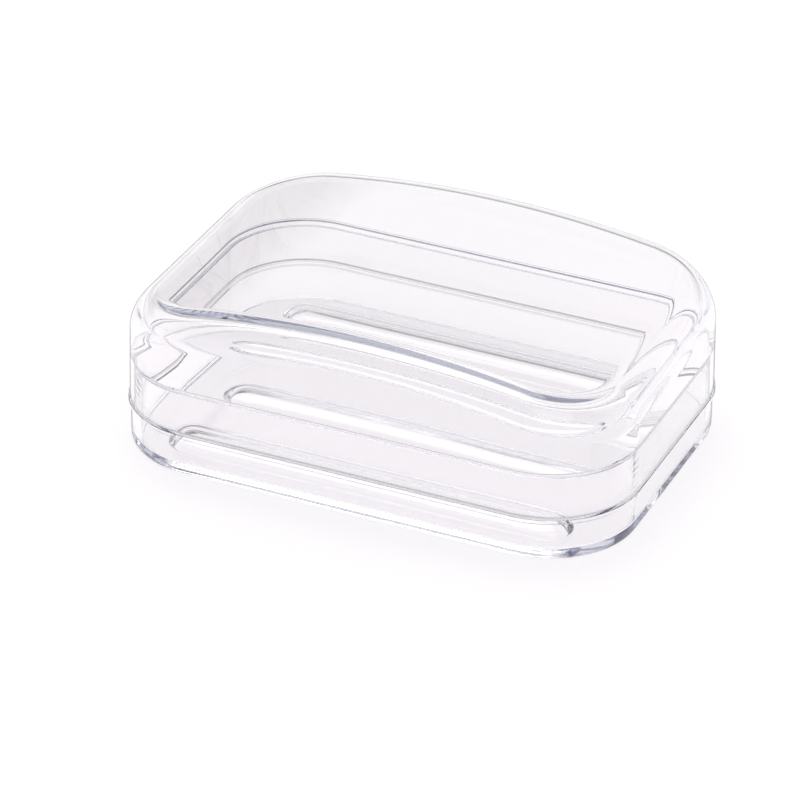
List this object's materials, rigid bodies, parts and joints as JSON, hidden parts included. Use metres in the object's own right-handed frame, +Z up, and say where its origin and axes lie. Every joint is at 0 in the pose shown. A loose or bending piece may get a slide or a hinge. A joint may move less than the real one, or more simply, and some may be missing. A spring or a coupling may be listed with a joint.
{
  "type": "covered soap dish",
  "caption": "Clear plastic soap dish: a shallow tray with raised ribs on its floor and a deep lift-off lid with an arched top that seats over the tray's lip.",
  "frame": {"origin": "middle of the tray's underside, on the surface it stands on", "axes": "+Z up and the way the lid lifts off, +X along the dish's long side, +Y across it, -Y the long side nearer the camera"},
  "size_m": [0.1206, 0.0846, 0.0415],
  "materials": {
    "clear_tray_plastic": "gloss",
    "clear_lid_plastic": "gloss"
  },
  "bodies": {
    "tray": {"base_tray": "clear_tray_plastic"},
    "lid": {"lid": "clear_lid_plastic"}
  },
  "joints": [
    {"name": "lid_lift", "type": "slide", "parent": "tray", "child": "lid", "axis": [0, 0, 1], "range_m": [0, 0.045]}
  ]
}
